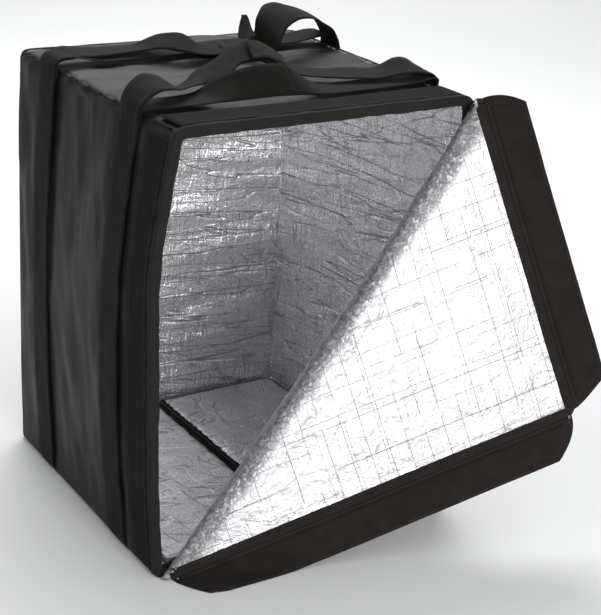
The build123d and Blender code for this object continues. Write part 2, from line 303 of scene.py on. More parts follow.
# ---- Materials ----
class Look:
    """A node material. Heights are in metres, so every bump has its real size."""

    def __init__(self, name, roughness, metallic=0.0, **fixed):
        self.material = bpy.data.materials.new(name)
        self.material.use_nodes = True
        self.tree = self.material.node_tree
        self.shader = self.tree.nodes["Principled BSDF"]
        self.shader.inputs["Roughness"].default_value = roughness
        self.shader.inputs["Metallic"].default_value = metallic
        for key, value in fixed.items():
            self.shader.inputs[key.replace("_", " ")].default_value = value

    def node(self, kind, inputs=(), **settings):
        made = self.tree.nodes.new("ShaderNode" + kind)
        for key, value in settings.items():
            setattr(made, key, value)
        for key, value in dict(inputs).items():
            self.put(made.inputs[key], value)
        return made

    def put(self, socket, value):
        if isinstance(value, bpy.types.NodeSocket):
            self.tree.links.new(value, socket)
        else:
            socket.default_value = value

    def place(self, scale=(1, 1, 1)):
        """Row-frame coordinates."""
        source = self.node("TexCoord").outputs["Object"]
        return self.node("Mapping", {"Vector": source, "Scale": scale}).outputs["Vector"]

    def cloth(self, scale=(1, 1, 1), turn=0.0):
        """Coordinates along the cloth, turned by an angle and then scaled."""
        source = self.node("UVMap", uv_map=CLOTH).outputs["UV"]
        if turn:
            source = self.node("Mapping", {"Vector": source, "Rotation": (0, 0, turn)}).outputs["Vector"]
        return self.node("Mapping", {"Vector": source, "Scale": scale}).outputs["Vector"]

    def noise(self, where, scale, detail=3.0, rough=0.55, distortion=0.0):
        inputs = {"Vector": where, "Scale": scale, "Detail": detail, "Roughness": rough,
                  "Distortion": distortion}
        return self.node("TexNoise", inputs).outputs["Fac"]

    def cells(self, where, scale):
        return self.node("TexVoronoi", {"Vector": where, "Scale": scale}).outputs["Distance"]

    def math(self, operation, a, b=0.0, c=0.0):
        made = self.node("Math", operation=operation)
        for socket, value in zip(made.inputs, (a, b, c)):
            self.put(socket, value)
        return made.outputs["Value"]

    def span(self, value, low, high, to_low=0.0, to_high=1.0):
        inputs = {"Value": value, "From Min": low, "From Max": high, "To Min": to_low, "To Max": to_high}
        return self.node("MapRange", inputs, interpolation_type="SMOOTHSTEP").outputs["Result"]

    def axis(self, where, which):
        return self.node("SeparateXYZ", {"Vector": where}).outputs[which]

    def wave(self, along, pitch):
        """0 to 1 sine along a coordinate in metres."""
        turned = self.math("MULTIPLY", along, 2 * math.pi / pitch)
        return self.math("MULTIPLY_ADD", self.math("SINE", turned), 0.5, 0.5)

    def mix(self, amount, a, b):
        made = self.node("Mix", data_type="RGBA")
        for key, value in (("Factor", amount), ("A", a), ("B", b)):
            socket = [s for s in made.inputs if s.name == key and (key == "Factor" or s.type == "RGBA")][0]
            self.put(socket, value)
        return [s for s in made.outputs if s.type == "RGBA"][0]

    def add(self, *heights):
        total = heights[0]
        for height in heights[1:]:
            total = self.math("ADD", total, height)
        return total

    def scaled(self, height, by):
        return self.math("MULTIPLY", height, by)

    def sum_of(self, *parts):
        """Adds (height, share) pairs."""
        return self.add(*[self.scaled(height, by) for height, by in parts])

    def ridge(self, field, centre, width):
        """1 where the field has its centre value, falling to 0 at width on either side of it."""
        return self.span(self.math("ABSOLUTE", self.math("SUBTRACT", field, centre)), 0.0, width, 1.0, 0.0)

    def finish(self, colour, height, roughness=None):
        self.put(self.shader.inputs["Base Color"], colour)
        if roughness is not None:
            self.put(self.shader.inputs["Roughness"], roughness)
        bump = self.node("Bump", {"Height": height, "Distance": 1.0, "Strength": 1.0})
        self.put(self.shader.inputs["Normal"], bump.outputs["Normal"])
        return self.material


def nylon_look():
    look = Look("nylon", 0.55, Specular_IOR_Level=0.22, Sheen_Weight=0.02, Sheen_Roughness=0.5)
    place = look.place()
    soft = look.noise(look.place((1.0, 1.0, 0.45)), 26, 4, 0.6, 0.6)
    small = look.noise(place, 130, 4, 0.6, 0.4)
    sideways = look.add(look.axis(place, "X"), look.axis(place, "Y"))
    weave = look.scaled(look.wave(look.axis(place, "Z"), 0.9 * MM), look.wave(sideways, 0.9 * MM))
    worn = look.noise(place, 9, 5, 0.6)
    colour = look.mix(look.span(worn, 0.35, 0.7), (0.0048, 0.0048, 0.0041, 1), (0.008, 0.008, 0.007, 1))
    height = look.sum_of((soft, 1.9 * MM), (small, 0.35 * MM), (weave, 0.03 * MM))
    return look.finish(colour, height, look.span(worn, 0.2, 0.8, 0.5, 0.64))


def foil_look(name, grain, wrinkle, creases, rows, base, rough, metallic=1.0, crushed=False):
    """Foil laminate, with painted shade in the crinkles' hollows, the creases and the rows, and painted
    highlights on the crinkles' crests and beside each crease.
    Grain is the fine crinkles' waves per metre along the cloth, wrinkle the broad ones'.
    Creases: (stretch, turn, width, step, darkness, cover). Rows parallel to the edges, in metres:
    (axis, pitch, half width, depth, darkness, wander, cover); darkness sets the painted shade. Crushed adds
    the crumpled zone at the fold, with painted shade over it."""
    look = Look(name, 0.3, metallic)
    cloth = look.cloth()
    fine = look.noise(look.cloth((*grain, 1)), 1.0, 5, 0.68, 0.35)
    small = look.noise(cloth, 330, 3, 0.7)
    medium = look.noise(look.cloth((*wrinkle, 1)), 1.0, 4, 0.62, 0.8)
    height = look.sum_of((fine, 1.5 * MM), (small, 0.3 * MM), (medium, 3.6 * MM))
    # Painted shade: darker colour in the fine crinkles' hollows.
    shade = look.scaled(look.span(fine, 0.3, 0.46, 1.0, 0.0), 0.16)
    # Painted highlight: lighter colour on the fine crinkles' crests.
    painted_highlight = look.span(fine, 0.6, 0.7)
    for stretch, turn, width, step, darkness, cover in creases:
        field = look.noise(look.cloth((*stretch, 1), turn), 1.0, 2, 0.45, 0.25)
        place = look.noise(look.cloth((stretch[0] * 0.7, stretch[1] * 0.4, 1), turn), 1.0, 1)
        present = look.span(place, 0.62 - 0.3 * cover, 0.7 - 0.3 * cover)
        # Painted shade along each crease's groove (line) and a painted highlight on its other side (edge).
        line = look.scaled(look.ridge(field, 0.5 - width, width), present)
        edge = look.scaled(look.ridge(field, 0.5 + width, width), present)
        height = look.add(height, look.scaled(look.span(field, 0.5 - width, 0.5 + width), step),
                          look.scaled(line, -0.4 * step))
        shade = look.math("MAXIMUM", shade, look.scaled(line, darkness))
        painted_highlight = look.math("MAXIMUM", painted_highlight, edge)
    for which, pitch, width, depth, darkness, wander, cover in rows:
        drift = look.noise(cloth, 6 + 40 * pitch, 2, 0.5)
        along = look.math("ADD", look.axis(cloth, which), look.scaled(drift, wander))
        near = look.math("PINGPONG", along, pitch / 2)
        dashes = (38, 9, 1) if which == "X" else (9, 38, 1)
        present = look.span(look.noise(look.cloth(dashes), 1.0, 2), 0.6 - 0.2 * cover, 0.66 - 0.2 * cover)
        # Painted shade along each row's groove, set by its darkness.
        row = look.scaled(look.span(near, 0.0, width, 1.0, 0.0), present)
        height = look.add(height, look.scaled(row, -depth))
        shade = look.math("MAXIMUM", shade, look.scaled(row, darkness))
    if crushed:
        across = look.add(look.sum_of((look.axis(cloth, "Y"), ALONG[0]), (look.axis(cloth, "X"), -ALONG[1])),
                          LEFT * ALONG[1])
        torn = look.add(across, look.scaled(look.noise(cloth, 26, 4, 0.65), 26 * MM))
        zone = look.span(torn, 26 * MM, 56 * MM, 1.0, 0.0)
        turn = look.span(across, -8 * MM, 44 * MM, 1.0, 0.0)
        crumple = look.noise(look.cloth((210, 150, 1), 0.93), 1.0, 4, 0.7, 0.8)
        knife = look.ridge(crumple, 0.52, 0.05)
        creased = look.sum_of((crumple, 1.7 * MM), (knife, 0.25 * MM))
        height = look.add(height, look.scaled(turn, -12 * MM), look.scaled(zone, creased))
        # Painted shade over the crumpled band by the fold, darkest in its hollows, standing in for the darker
        # reflections there.
        band = look.scaled(zone, look.span(torn, 6 * MM, 26 * MM, 0.35, 1.0))
        painted_roll_shade = look.scaled(band, look.span(crumple, 0.4, 0.62, 0.8, 0.15))
        shade = look.math("MAXIMUM", shade, painted_roll_shade)
    # The foil's colour: lighter with the painted highlights, darker towards the dark colour by the painted
    # shade.
    highlighted_foil = look.mix(painted_highlight, (base * 0.9, base * 0.9, base * 0.92, 1), (base, base, base, 1))
    dark = (base * 0.16, base * 0.16, base * 0.17, 1)
    return look.finish(look.mix(shade, highlighted_foil, dark), height, look.span(small, 0.3, 0.7, *rough))


def webbing_look():
    look = Look("webbing", 0.75, Specular_IOR_Level=0.08, Sheen_Weight=0.02, Sheen_Roughness=0.45)
    cloth = look.cloth()
    ribs = look.wave(look.axis(cloth, "X"), 1.7 * MM)
    zigzag = look.math("PINGPONG", look.axis(cloth, "Y"), 4 * MM)
    twill = look.wave(look.math("ADD", look.axis(cloth, "X"), zigzag), 2.3 * MM)
    wear = look.noise(cloth, 60, 4, 0.6)
    colour = look.mix(look.scaled(twill, look.span(wear, 0.3, 0.7, 0.5, 1.0)),
                      (0.0045, 0.0045, 0.0036, 1), (0.015, 0.0152, 0.0125, 1))
    return look.finish(colour, look.sum_of((ribs, 0.14 * MM), (twill, 0.22 * MM), (wear, 0.25 * MM)))


def tape_look(name, dark, light, pile, roughness=0.95):
    """Loop or hook tape and other fuzzy cloth."""
    look = Look(name, roughness, Specular_IOR_Level=0.1, Sheen_Weight=0.02, Sheen_Roughness=0.7)
    place = look.place()
    fuzz = look.noise(place, 900, 3, 0.7)
    tufts = look.cells(place, 420)
    worn = look.noise(place, 45, 4, 0.6)
    colour = look.mix(look.span(look.sum_of((worn, 0.6), (fuzz, 0.4)), 0.3, 0.7), dark, light)
    return look.finish(colour, look.sum_of((fuzz, pile), (tufts, pile * 0.8), (worn, 0.5 * MM)))


def binding_look():
    look = Look("binding_tape", 0.8, Specular_IOR_Level=0.1, Sheen_Weight=0.02)
    cloth = look.cloth()
    ribs = look.wave(look.axis(cloth, "X"), 1.3 * MM)
    worn = look.noise(cloth, 50, 3, 0.6)
    colour = look.mix(look.scaled(ribs, worn), (0.008, 0.008, 0.007, 1), (0.026, 0.0255, 0.023, 1))
    return look.finish(colour, look.sum_of((ribs, 0.16 * MM), (worn, 0.6 * MM)))


def foam_look():
    look = Look("foam", 0.9)
    place = look.place()
    pores = look.cells(place, 500)
    tone = look.noise(place, 60, 4)
    colour = look.mix(tone, (0.30, 0.30, 0.29, 1), (0.46, 0.46, 0.45, 1))
    return look.finish(colour, look.scaled(pores, 0.4 * MM))


def board_look():
    look = Look("board", 0.6)
    place = look.place()
    flutes = look.wave(look.axis(place, "X"), 4.2 * MM)
    tone = look.noise(place, 80, 4)
    colour = look.mix(tone, (0.10, 0.10, 0.10, 1), (0.16, 0.16, 0.155, 1))
    return look.finish(colour, look.sum_of((flutes, 0.12 * MM), (tone, 0.1 * MM)))


def thread_look(name, colour_low, colour_high):
    look = Look(name, 0.55, Sheen_Weight=0.2)
    place = look.place()
    twist = look.wave(look.add(look.axis(place, "X"), look.axis(place, "Y"), look.axis(place, "Z")), 0.7 * MM)
    return look.finish(look.mix(twist, colour_low, colour_high), look.scaled(twist, 0.08 * MM))


def studio_look():
    look = Look("studio", 0.85)
    place = look.place()
    # Painted light: the sweep's colour gets lighter towards the back and darker towards the front.
    painted_falloff = look.sum_of((look.axis(place, "X"), 0.56), (look.axis(place, "Y"), 0.83),
                         (look.noise(place, 1.2, 2), 0.1))
    colour = look.mix(look.span(painted_falloff, 0.1, 1.5), (0.75, 0.75, 0.745, 1), (0.92, 0.92, 0.915, 1))
    return look.finish(colour, look.scaled(look.noise(place, 300, 2), 0.05 * MM))


NYLON = nylon_look()
# Foil creases and rows for foil_look; their darkness column sets the painted shade along each crease or row.
WALL_CREASES = (
    ((2.4, 46), 0.06, 0.014, 1.9 * MM, 0.6, 1.1),
    ((3, 22), 0.22, 0.006, 1.8 * MM, 0.5, 0.8),
    ((105, 17), 0.03, 0.035, 0.6 * MM, 0.5, 0.6),
)
WALL_ROWS = (("X", 53 * MM, 0.8 * MM, 0.3 * MM, 0.35, 6 * MM, 0.6),)
FLAP_ROWS = (
    ("X", 34 * MM, 0.75 * MM, 0.25 * MM, 0.5, 9 * MM, 0.9),
    ("Y", 27 * MM, 0.75 * MM, 0.25 * MM, 0.55, 6 * MM, 1.0),
    ("X", 58 * MM, 0.8 * MM, 0.3 * MM, 0.6, 3 * MM, 0.8),
    ("Y", 43 * MM, 0.6 * MM, 0.15 * MM, 0.6, 3 * MM, 0.8),
    ("Y", 15 * MM, 0.5 * MM, 0.1 * MM, 0.3, 4 * MM, 0.6),
)
FLOOR_CREASES = (((34, 5), 0.4, 0.014, 1.2 * MM, 0.5, 0.8), ((9, 34), -0.3, 0.014, 0.8 * MM, 0.4, 0.6))
WALL_FOIL = foil_look("wall_foil", (230, 60), (9, 24), WALL_CREASES, WALL_ROWS, 0.98, (0.2, 0.34), 0.72)
# The flap's foil has a darker base than the walls' and floor's foil: painted shade that holds down the front
# light's glare on the flap.
FLAP_FOIL = foil_look("flap_foil", (110, 110), (26, 22), (), FLAP_ROWS, 0.58, (0.28, 0.42), 0.85, True)
FLOOR_FOIL = foil_look("floor_foil", (90, 70), (16, 12), FLOOR_CREASES, (), 0.95, (0.24, 0.38), 0.85)
WEBBING = webbing_look()
LOOP = tape_look("loop_tape", (0.003, 0.0022, 0.0018, 1), (0.0075, 0.006, 0.0052, 1), 0.3 * MM)
HOOK = tape_look("hook_tape", (0.0085, 0.0066, 0.0058, 1), (0.0155, 0.0125, 0.0112, 1), 0.12 * MM)
LIP = tape_look("lip_cloth", (0.0085, 0.0066, 0.0058, 1), (0.0165, 0.0132, 0.0118, 1), 0.08 * MM, 0.85)
GRIP = tape_look("grip_cloth", (0.008, 0.008, 0.007, 1), (0.026, 0.027, 0.023, 1), 0.4 * MM)
HINGE_CLOTH = tape_look("hinge_cloth", (0.008, 0.008, 0.008, 1), (0.022, 0.021, 0.020, 1), 0.3 * MM)
BINDING = binding_look()
FOAM = foam_look()
BOARD = board_look()
THREAD = thread_look("thread", (0.010, 0.0095, 0.009, 1), (0.022, 0.021, 0.019, 1))
PALE_THREAD = thread_look("pale_thread", (0.42, 0.41, 0.39, 1), (0.62, 0.61, 0.58, 1))


# ---- Walls ----
def spaced(low, high, count, edge=EDGE_RADIUS):
    """Values from low to high, closer together near both ends where the walls turn."""
    near = edge * np.array([0.0, 0.2, 0.4, 0.6, 0.8, 1.0])
    middle = np.linspace(low + edge, high - edge, count)
    return np.concatenate([low + near[:-1], middle, high - near[:-1][::-1]])


def wall_layer(name, outer, inner, front, base, material, step, creased=False, shape=None):
    """One layer of the walls as a single closed loft: four sides and the back, open at the mouth.
    Outer and inner are its depths inside the bag's outer faces; base is the height range at the bottom."""
    grids = []
    for inset, low in ((outer, base[0]), (inner, base[1])):
        x = spaced(LEFT + inset, RIGHT - inset, round(WIDTH / step))
        z = spaced(low, TOP - inset, round(TOP / step))
        y = spaced(front, BACK - inset, round(WIDTH / step))
        ring = [(a, low) for a in x[:-1]] + [(x[-1], b) for b in z[:-1]]
        ring += [(a, z[-1]) for a in x[:0:-1]] + [(x[0], b) for b in z[:0:-1]]
        grids.append((np.array(ring), x, y, z))
    vertices, faces, uv = [], [], []
    rings = []
    for ring, x, y, z in grids:
        around, along = len(ring), len(y)
        start = len(vertices)
        for depth in y:
            vertices += [(a, depth, b) for a, b in ring]
            uv += [(depth, a + b) for a, b in ring]
        index = start + np.arange(around * along).reshape(along, around)
        after = np.roll(index, -1, axis=1)
        faces += np.stack([index[:-1], after[:-1], after[1:], index[1:]], -1).reshape(-1, 4).tolist()
        rings.append(index[0])
        last = {(round(a, 7), round(b, 7)): index[-1][i] for i, (a, b) in enumerate(ring)}
        back = np.zeros((len(x), len(z)), int)
        for i, a in enumerate(x):
            for j, b in enumerate(z):
                key = (round(a, 7), round(b, 7))
                if key in last:
                    back[i, j] = last[key]
                else:
                    back[i, j] = len(vertices)
                    vertices.append((a, y[-1], b))
                    uv.append((a, b))
        faces += grid_quads(back).tolist()
    a, b = rings
    faces += np.stack([a, np.roll(a, -1), np.roll(b, -1), b], -1).tolist()
    flat = np.array(vertices)
    soft = soften(flat, creased)
    if shape is not None:
        soft = shape(flat, soft)
    return piece(name, soft, faces, material, uv)


def foil_shape(flat, soft):
    """The lining's own slack: shallow waves that run across the back and wander on the sides."""
    back = 1.6 * MM * ripple(flat, (0.3, 0.5, 0.055), 11)
    side = 1.3 * MM * ripple(flat, (0.5, 0.09, 0.10), 12)
    middle = np.array([0, 0, MIDDLE])
    toward = np.array([RIGHT, BACK, TOP / 2])
    place = (flat - middle) / toward
    face = np.abs(place).argmax(-1)
    fade = smooth((flat[:, 1] - FRONT - 0.01) / 0.03)
    move = np.zeros_like(soft)
    move[:, 1] = -np.abs(back) * (face == 1)
    move[:, 0] = -np.sign(place[:, 0]) * np.abs(side) * (face == 0)
    move[:, 2] = -np.abs(side) * (face == 2) * (place[:, 2] > 0)
    depth = np.minimum(RIGHT - np.abs(flat[:, 0]), np.minimum(BACK - flat[:, 1], TOP - flat[:, 2]))
    inner = smooth((depth - (WALL - 0.6 * FOIL)) / (0.5 * FOIL))
    return soft + move * (fade * inner)[:, None]


def make_walls():
    sides = ("left", "right", "top", "bottom", "back")
    front = FRONT + 1.2 * MM
    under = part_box("shell_bottom")[1].z
    foam_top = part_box("foam_bottom")[1].z
    gap = 0.4 * MM  # between the foam and the foil
    hidden = 1.6 * MM  # the foam stays this far under the nylon, so that its folds never show it
    foam_base = (under + 0.6 * MM, foam_top - gap)
    lining_base = (foam_top + 0.1 * MM, FLOOR)
    shell = wall_layer("bag_shell", 0.0, SHELL * 0.9, front, (0.0, under * 0.9), NYLON, 7 * MM, True, groove)
    foam = wall_layer("bag_foam", SHELL + hidden, WALL - FOIL - gap, front, foam_base, FOAM, 7 * MM, True)
    lining = wall_layer("bag_lining", WALL - FOIL * 0.9, WALL, front, lining_base, WALL_FOIL, 8 * MM, False,
                        foil_shape)
    layers = ((shell, "shell", "nylon"), (foam, "foam", "foam"), (lining, "lining", "foil"))
    for made_piece, node, slot in layers:
        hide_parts(*[f"{node}_{side}" for side in sides])
        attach(made_piece, "bag")


def groove(flat, soft):
    """The base cloth is pressed in over the straps, which lie flush with it."""
    pressed = np.zeros(len(flat), bool)
    for low, high in (STRAP_FRONT, STRAP_BACK):
        pressed |= (flat[:, 1] > low - 2 * MM) & (flat[:, 1] < high + 2 * MM)
    pressed &= (flat[:, 2] < 0.5 * MM) & (np.abs(flat[:, 0]) < RIGHT - 4 * MM)
    soft[:, 2] = np.where(pressed, np.maximum(soft[:, 2], 1.2 * MM), soft[:, 2])
    return soft


# ---- Mouth: binding, loop tape ----
def around_mouth(inset, step=8 * MM):
    """Points (x, z) round the mouth, inset from the outer faces, from the bottom left and back to it."""
    low, high = max(inset, 0.0), TOP - inset
    left, right = LEFT + inset, RIGHT - inset
    count_x, count_z = round(WIDTH / step), round(TOP / step)
    sides = [((left, low), (right, low), count_x), ((right, low), (right, high), count_z),
             ((right, high), (left, high), count_x), ((left, high), (left, low), count_z)]
    points = []
    for a, b, count in sides:
        ease = np.linspace(0, 1, count, endpoint=False)
        points.append(np.outer(1 - ease, a) + np.outer(ease, b))
    points.append(np.array([points[0][0]]))
    return np.concatenate(points)


def make_binding():
    reach = 8.5 * MM
    profile = [(-0.5 * MM, reach), (-0.75 * MM, reach * 0.5), (-0.7 * MM, 1.6 * MM), (0.2 * MM, 0.2 * MM),
               (WALL * 0.3, 0.0), (WALL * 0.7, 0.0), (WALL - 0.2 * MM, 0.2 * MM),
               (WALL + 0.7 * MM, 1.6 * MM), (WALL + 0.8 * MM, reach * 0.5), (WALL + 0.6 * MM, reach)]
    rows = []
    for inset, depth in profile:
        ring = around_mouth(inset)
        rows.append(np.column_stack([ring[:, 0], np.full(len(ring), FRONT + depth), ring[:, 1]]))
    points = soften(np.array(rows).transpose(1, 0, 2))
    points = ruffled(points, 0.35 * MM, 0.03, 21)
    points[..., 2] = np.maximum(points[..., 2], 0.2 * MM)
    made = sheet("mouth_binding", points, 0.5 * MM, BINDING)
    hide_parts("binding_left", "binding_right", "binding_top", "binding_bottom")
    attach(made, "bag")
    side = stitches("stitch_side", points[:, 1], -normals(points)[:, 1], THREAD)
    inner = stitches("stitch_inner", points[:, -2], -normals(points)[:, -2], THREAD)
    seam = merge("binding_stitches", [side, inner], THREAD)
    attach(seam, "bag")


def flat_patch(low, high, y, place, step=7 * MM):
    """A grid on the outside of the bag: place(a, y) gives box points for positions from low to high."""
    a = np.linspace(low, high, max(2, round((high - low) / step)))
    depth = np.linspace(y[0], y[1], 9)
    return place(*np.meshgrid(a, depth, indexing="ij"))


def make_tapes():
    lift = 0.3 * MM
    left_z = (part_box("loop_tape_left")[0].z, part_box("loop_tape_left")[1].z - 6 * MM)
    top_x = (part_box("loop_tape_top")[0].x + 4 * MM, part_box("loop_tape_top")[1].x)

    def on_left(z, y):
        return soften(np.stack([np.full_like(z, LEFT - lift), y, z], -1))

    def on_top(x, y):
        return soften(np.stack([x, y, np.full_like(x, TOP + lift)], -1))

    thickness = 0.9 * MM
    for name, points, length in (
        ("tape_left", flat_patch(*left_z, TAPE_Y, on_left), left_z[1] - left_z[0]),
        ("tape_top", flat_patch(*top_x, TAPE_Y, on_top), top_x[1] - top_x[0]),
    ):
        outward = normals(points).mean((0, 1))
        sign = 1 if (outward[0] < -0.5 or outward[2] > 0.5) else -1
        points = ruffled(points, 0.25 * MM, 0.05, 23)
        made = sheet(name, points, sign * thickness, LOOP)
        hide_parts("loop_" + name)
        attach(made, "bag")
        top = points + normals(points) * sign * thickness
        rows = [stitches(f"{name}_row{i}", top[:, i], normals(points)[:, i] * sign, THREAD) for i in (1, -2)]
        seam = merge(name + "_stitches", rows, THREAD)
        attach(seam, "bag")


# ---- Webbing ----
# The slack bands over the top as pairs of (front edge), (back edge): x, y and height above the top, in mm.
FRONT_UPPER = [
    ((-225, -150, 5), (-225, -101, 10)), ((-216, -148, 12), (-217, -100, 22)),
    ((-200, -144, 19), (-200, -98, 32)), ((-178, -138, 21), (-174, -92, 27)),
    ((-154, -126, 16), (-146, -80, 7)), ((-130, -109, 14), (-118, -64, 8)),
    ((-104, -97, 12), (-96, -53, 19)), ((-76, -85, 11), (-68, -40, 24)), ((-50, -68, 16), (-40, -22, 30)),
    ((-20, -46, 22), (-4, -2, 35)), ((10, -42, 20), (24, 6, 30)), ((32, -64, 12), (50, -18, 14)),
    ((46, -92, 10), (72, -50, 8)), ((65, -112, 10), (88, -68, 9)), ((105, -127, 8), (124, -82, 12)),
    ((144, -136, 8), (162, -90, 11)), ((172, -141, 11), (186, -97, 23)), ((200, -143, 12), (210, -98, 20)),
    ((222, -148, 7), (224, -100, 8)),
]
FRONT_LOWER = [
    ((-226, -155, 2), (-226, -105, 2)), ((-190, -152, 2), (-190, -102, 2)),
    ((-150, -151, 2), (-150, -102, 2)), ((-122, -150, 2), (-123, -103, 6)),
    ((-98, -150, 2), (-100, -112, 24)), ((-70, -149, 2), (-74, -118, 33)),
    ((-24, -148, 2), (-26, -120, 38)), ((0, -152, 2), (-2, -118, 34)), ((36, -162, 2), (40, -122, 8)),
    ((90, -162, 2), (92, -112, 2)), ((140, -160, 2), (140, -110, 2)), ((190, -155, 2), (190, -105, 2)),
    ((226, -152, 2), (226, -102, 2)),
]
BACK_UPPER = [
    ((-225, 92, 4), (-225, 141, 5)), ((-198, 98, 8), (-202, 146, 13)), ((-165, 102, 7), (-162, 150, 9)),
    ((-125, 106, 7), (-122, 154, 7)), ((-94, 102, 10), (-84, 150, 8)), ((-70, 88, 14), (-56, 132, 24)),
    ((-46, 68, 12), (-30, 108, 28)), ((-20, 62, 7), (-8, 108, 14)), ((20, 64, 6), (30, 112, 7)),
    ((58, 54, 6), (64, 103, 10)), ((82, 36, 10), (72, 82, 26)), ((88, 34, 26), (66, 68, 52)),
    ((104, 46, 39), (80, 80, 64)), ((128, 58, 47), (104, 98, 65)), ((156, 68, 46), (140, 112, 58)),
    ((184, 74, 36), (176, 122, 46)), ((206, 82, 24), (202, 130, 33)), ((220, 88, 7), (220, 137, 12)),
]
BACK_LOWER = [
    ((-226, 90, 2), (-226, 140, 2)), ((-150, 91, 2), (-150, 141, 2)), ((-60, 95, 2), (-60, 145, 2)),
    ((60, 112, 2), (60, 162, 2)), ((150, 108, 2), (150, 158, 2)), ((226, 92, 2), (226, 142, 2)),
]
WRAP = [((-10, -52, 28), (8, -2, 40)), ((12, -50, 28), (26, -2, 38)), ((34, -66, 19), (44, -22, 25))]
WEBBING_THICK = 1.7 * MM


def above_top(stations):
    return [[np.array(p, float) * MM + (0, 0, TOP) for p in pair] for pair in stations]


def band_points(pairs, step=4.5 * MM, columns=9):
    """A smooth grid through pairs of edge points, from one end of the band to the other."""
    pairs = np.array(pairs)
    middle = pairs.mean(1)
    far = np.concatenate([[0], np.cumsum(np.linalg.norm(np.diff(middle, axis=0), axis=1))])
    at = np.linspace(0, far[-1], max(3, round(far[-1] / step)))
    a = curve(at, list(zip(far, pairs[:, 0])))
    b = curve(at, list(zip(far, pairs[:, 1])))
    share = np.linspace(0, 1, columns)[None, :, None]
    return a[:, None] * (1 - share) + b[:, None] * share


def wall_pairs(side, y):
    """Edge pairs of a band that lies on a side wall, from the base up to the top edge."""
    x = side * (RIGHT + 0.5 * MM)
    heights = np.concatenate([[1 * MM, 12 * MM], np.linspace(45 * MM, TOP - EDGE_RADIUS, 12)])
    flat = np.array([[(x, edge, z) for edge in y] for z in heights])
    return list(soften(flat))


def strap_half(side, y, stations):
    """One half of a band, from the base to the middle of the top, and its thickness toward the outside."""
    pairs = wall_pairs(side, y) + (stations if side < 0 else stations[::-1])
    points = band_points(pairs)
    points[..., 2] = np.maximum(points[..., 2], 0.4 * MM)
    points = ruffled(points, 0.35 * MM, 0.035, 31)
    outward = normals(points)[8, 4][0] * side
    return points, (1 if outward > 0 else -1) * WEBBING_THICK


def make_straps():
    plans = (
        ("front", STRAP_FRONT, above_top(FRONT_UPPER), above_top(FRONT_LOWER), 10, 7),
        ("back", STRAP_BACK, above_top(BACK_UPPER), above_top(BACK_LOWER), 8, 3),
    )
    for name, y, upper, lower, split, lower_split in plans:
        for side, word in ((-1, "left"), (1, "right")):
            half = upper[:split + 1] if side < 0 else upper[split:]
            points, thick = strap_half(side, y, half)
            made = sheet(f"webbing_{name}_{word}", points, thick, WEBBING)
            n = normals(points) * np.sign(thick)
            face = points + n * abs(thick)
            seams = [stitches(f"{name}{word}{c}", face[:, c], n[:, c], THREAD, 4.2 * MM) for c in (1, -2)]
            seam = merge(f"webbing_{name}_{word}_stitches", seams, THREAD)
            length = float(lengths(points, 0)[-1])
            for part in (made, seam):
                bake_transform(part)
            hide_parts(f"strap_{name}_{word}", f"handle_{name}_upper")
            part_stations = lower[:lower_split + 1] if side < 0 else lower[lower_split:]
            tuck = [soften(np.array([(side * (RIGHT + 0.1 * MM), edge, TOP - drop * MM) for edge in y]))
                    for drop in (34, 20, 8)]
            pairs = tuck + (part_stations if side < 0 else part_stations[::-1])
            points = band_points(pairs)
            upward = np.sign(normals(points)[-3, 4][2])
            under = sheet(f"webbing_{name}_lower_{word}", points, upward * WEBBING_THICK * 0.6, WEBBING)
            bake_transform(under)
            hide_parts(f"handle_{name}_lower")
            float(lengths(points, 0)[-1])
        x = np.linspace(LEFT + 5 * MM, RIGHT - 5 * MM, 50)
        grid_x, grid_y = np.meshgrid(x, np.linspace(y[0] + MM, y[1] - MM, 7), indexing="ij")
        base = np.stack([grid_x, grid_y, np.full_like(grid_x, 0.2 * MM)], -1)
        under = closed_sheet(f"webbing_{name}_under", base, base + (0, 0, 0.75 * MM), WEBBING)
        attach(under, "bag")
        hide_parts(f"strap_{name}_under")


def make_grip():
    """The padded wrap round the front handle and its pointed loose wing."""
    pairs = above_top(WRAP)
    centre = band_points(pairs, 3 * MM, columns=13)
    n = normals(centre)
    n *= np.sign(n[..., 2:3])
    share = np.linspace(0, 1, 13)
    crown = np.sin(math.pi * np.clip(share, 0.02, 0.98)) ** 0.5
    fuzz = 1.0 + 0.16 * ripple(centre, (0.012, 0.012, 0.012), 41)
    upper = centre + n * (4.2 * MM * crown[None, :, None] * fuzz[..., None])
    lower = centre - n * (3.4 * MM * crown[None, :, None])
    made = closed_sheet("grip_sleeve", lower, upper, GRIP)
    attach(made, "handle_front")
    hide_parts("grip_wrap")
    lo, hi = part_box("grip_wing")
    rise = np.linspace(0, 1, 14)
    width = np.linspace(-1, 1, 9)
    grid_rise, grid_width = np.meshgrid(rise, width, indexing="ij")
    half = (hi.x - lo.x) / 2 * (1 - 0.72 * grid_rise**1.3)
    x = (lo.x + hi.x) / 2 + half * grid_width + 2 * MM * grid_rise
    y = lo.y + (hi.y - lo.y) * grid_rise**0.8 + 3 * MM * grid_width**2 * (1 - grid_rise)
    z = lo.z + (hi.z - lo.z) * grid_rise
    points = np.stack([x, y, z], -1)
    points = ruffled(points, 0.7 * MM, 0.014, 42)
    wing = sheet("grip_wing_cloth", points, 2.2 * MM, GRIP)
    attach(wing, "grip_wing")
    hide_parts("grip_wing")


